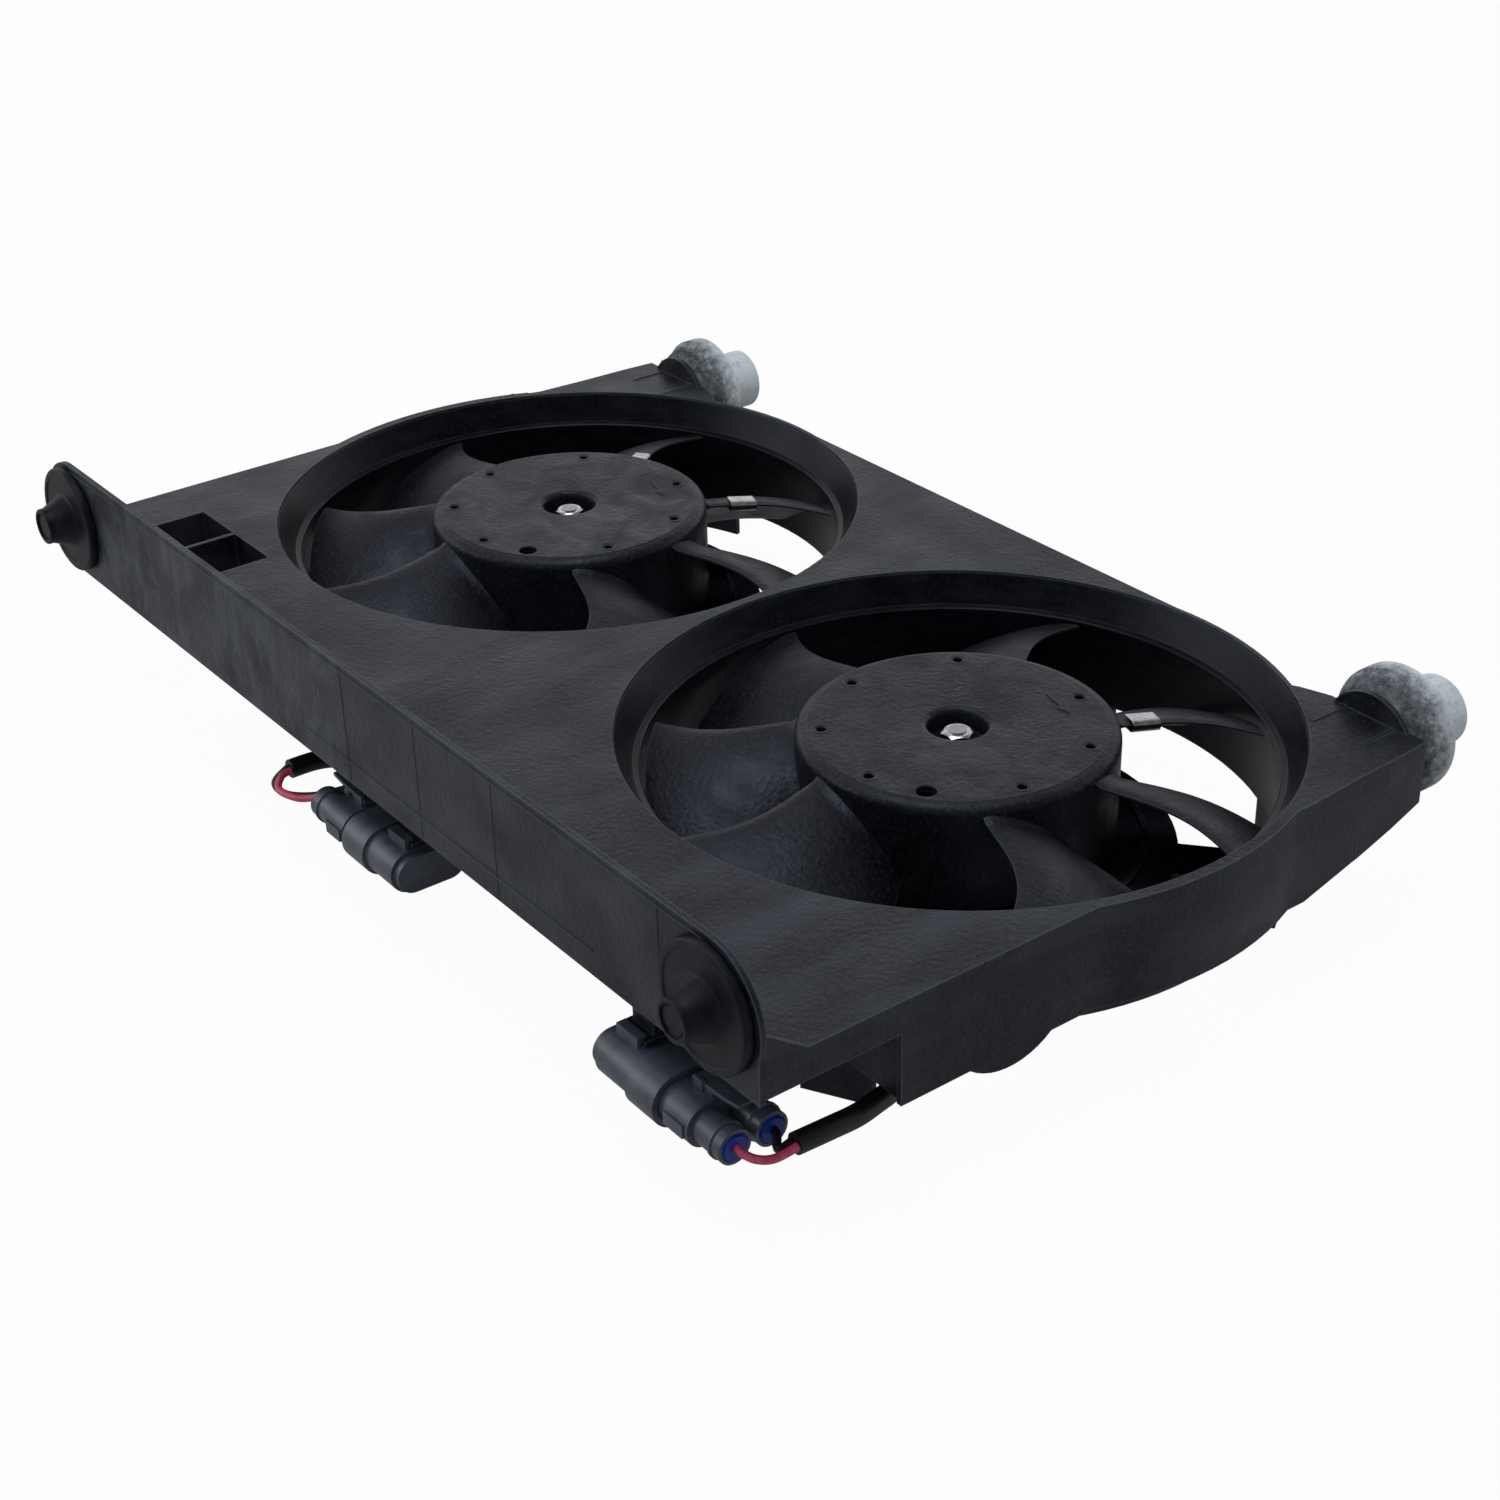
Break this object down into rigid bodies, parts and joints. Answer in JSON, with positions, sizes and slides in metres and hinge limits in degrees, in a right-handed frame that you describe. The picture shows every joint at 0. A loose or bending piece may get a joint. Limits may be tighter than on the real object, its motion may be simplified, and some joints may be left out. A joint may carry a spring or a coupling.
{
  "type": "radiator cooling fan",
  "caption": "Twin electric radiator cooling fan module: moulded shroud, cup-hub fans on brushed motors, rubber pegs and isolators, sealed plugs.",
  "frame": {"origin": "below the middle of the module's box, at the backs of the motors, on which it lies", "axes": "+Z along the fan axes, out of the hubs' faces; X along the long side, +X to the right fan; +Y from the pin wall to the isolators"},
  "size_m": [0.6124, 0.427, 0.1366],
  "materials": {
    "shroud_plastic": "moulded glass-filled nylon, satin, dusty",
    "fan_plastic": "moulded, satin",
    "zinc_steel": "zinc plated",
    "spring_steel": "bright",
    "painted_can": "satin black",
    "shaft_steel": "ground",
    "lamination_steel": "varnished laminations",
    "copper_wire": "enamelled wire",
    "commutator_copper": "turned",
    "ferrite": "sintered, matte",
    "sintered_bronze": "sintered, oiled",
    "card_resin": "moulded resin",
    "carbon": "pressed carbon",
    "black_rubber": "matte",
    "grey_rubber": "chalky with talc",
    "plug_plastic": "satin",
    "blue_silicone": "satin",
    "red_pvc": "satin",
    "black_pvc": "satin",
    "sleeve_pvc": "satin"
  },
  "bodies": {
    "root": {"shroud": "shroud_plastic", "right_motor_can": "painted_can", "left_motor_can": "painted_can", "right_motor_end_cap": "painted_can", "left_motor_end_cap": "painted_can", "right_magnets": "ferrite", "left_magnets": "ferrite", "right_front_bearing": "sintered_bronze", "left_front_bearing": "sintered_bronze", "right_rear_bearing": "sintered_bronze", "left_rear_bearing": "sintered_bronze", "right_brush_card": "card_resin", "left_brush_card": "card_resin", "right_brushes": "carbon", "left_brushes": "carbon", "right_brush_springs": "spring_steel", "left_brush_springs": "spring_steel", "right_motor_screws": "zinc_steel", "left_motor_screws": "zinc_steel", "right_peg_grommet": "black_rubber", "left_peg_grommet": "black_rubber", "right_isolator": "grey_rubber", "left_isolator": "grey_rubber", "right_plug_housing": "plug_plastic", "left_plug_housing": "plug_plastic", "right_plug_mate": "plug_plastic", "left_plug_mate": "plug_plastic", "right_plug_latch": "plug_plastic", "left_plug_latch": "plug_plastic", "right_wire_seals": "blue_silicone", "left_wire_seals": "blue_silicone", "right_power_wire": "red_pvc", "left_power_wire": "red_pvc", "right_ground_wire": "black_pvc", "left_ground_wire": "black_pvc", "right_lead_sleeve": "sleeve_pvc", "left_lead_sleeve": "sleeve_pvc"},
    "right_rotor": {"right_fan": "fan_plastic", "right_fan_nut": "zinc_steel", "right_fan_washer": "zinc_steel", "right_balance_clip": "spring_steel", "right_motor_shaft": "shaft_steel", "right_armature": "lamination_steel", "right_windings": "copper_wire", "right_commutator": "commutator_copper"},
    "left_rotor": {"left_fan": "fan_plastic", "left_fan_nut": "zinc_steel", "left_fan_washer": "zinc_steel", "left_balance_clips": "spring_steel", "left_motor_shaft": "shaft_steel", "left_armature": "lamination_steel", "left_windings": "copper_wire", "left_commutator": "commutator_copper"}
  },
  "joints": [
    {"name": "right_fan_spin", "type": "hinge", "parent": "root", "child": "right_rotor", "pos_m": [0.1517, 0.0225, 0.093], "axis": [0, 0, 1], "continuous": true},
    {"name": "left_fan_spin", "type": "hinge", "parent": "root", "child": "left_rotor", "pos_m": [-0.1517, 0.0225, 0.093], "axis": [0, 0, 1], "continuous": true}
  ]
}
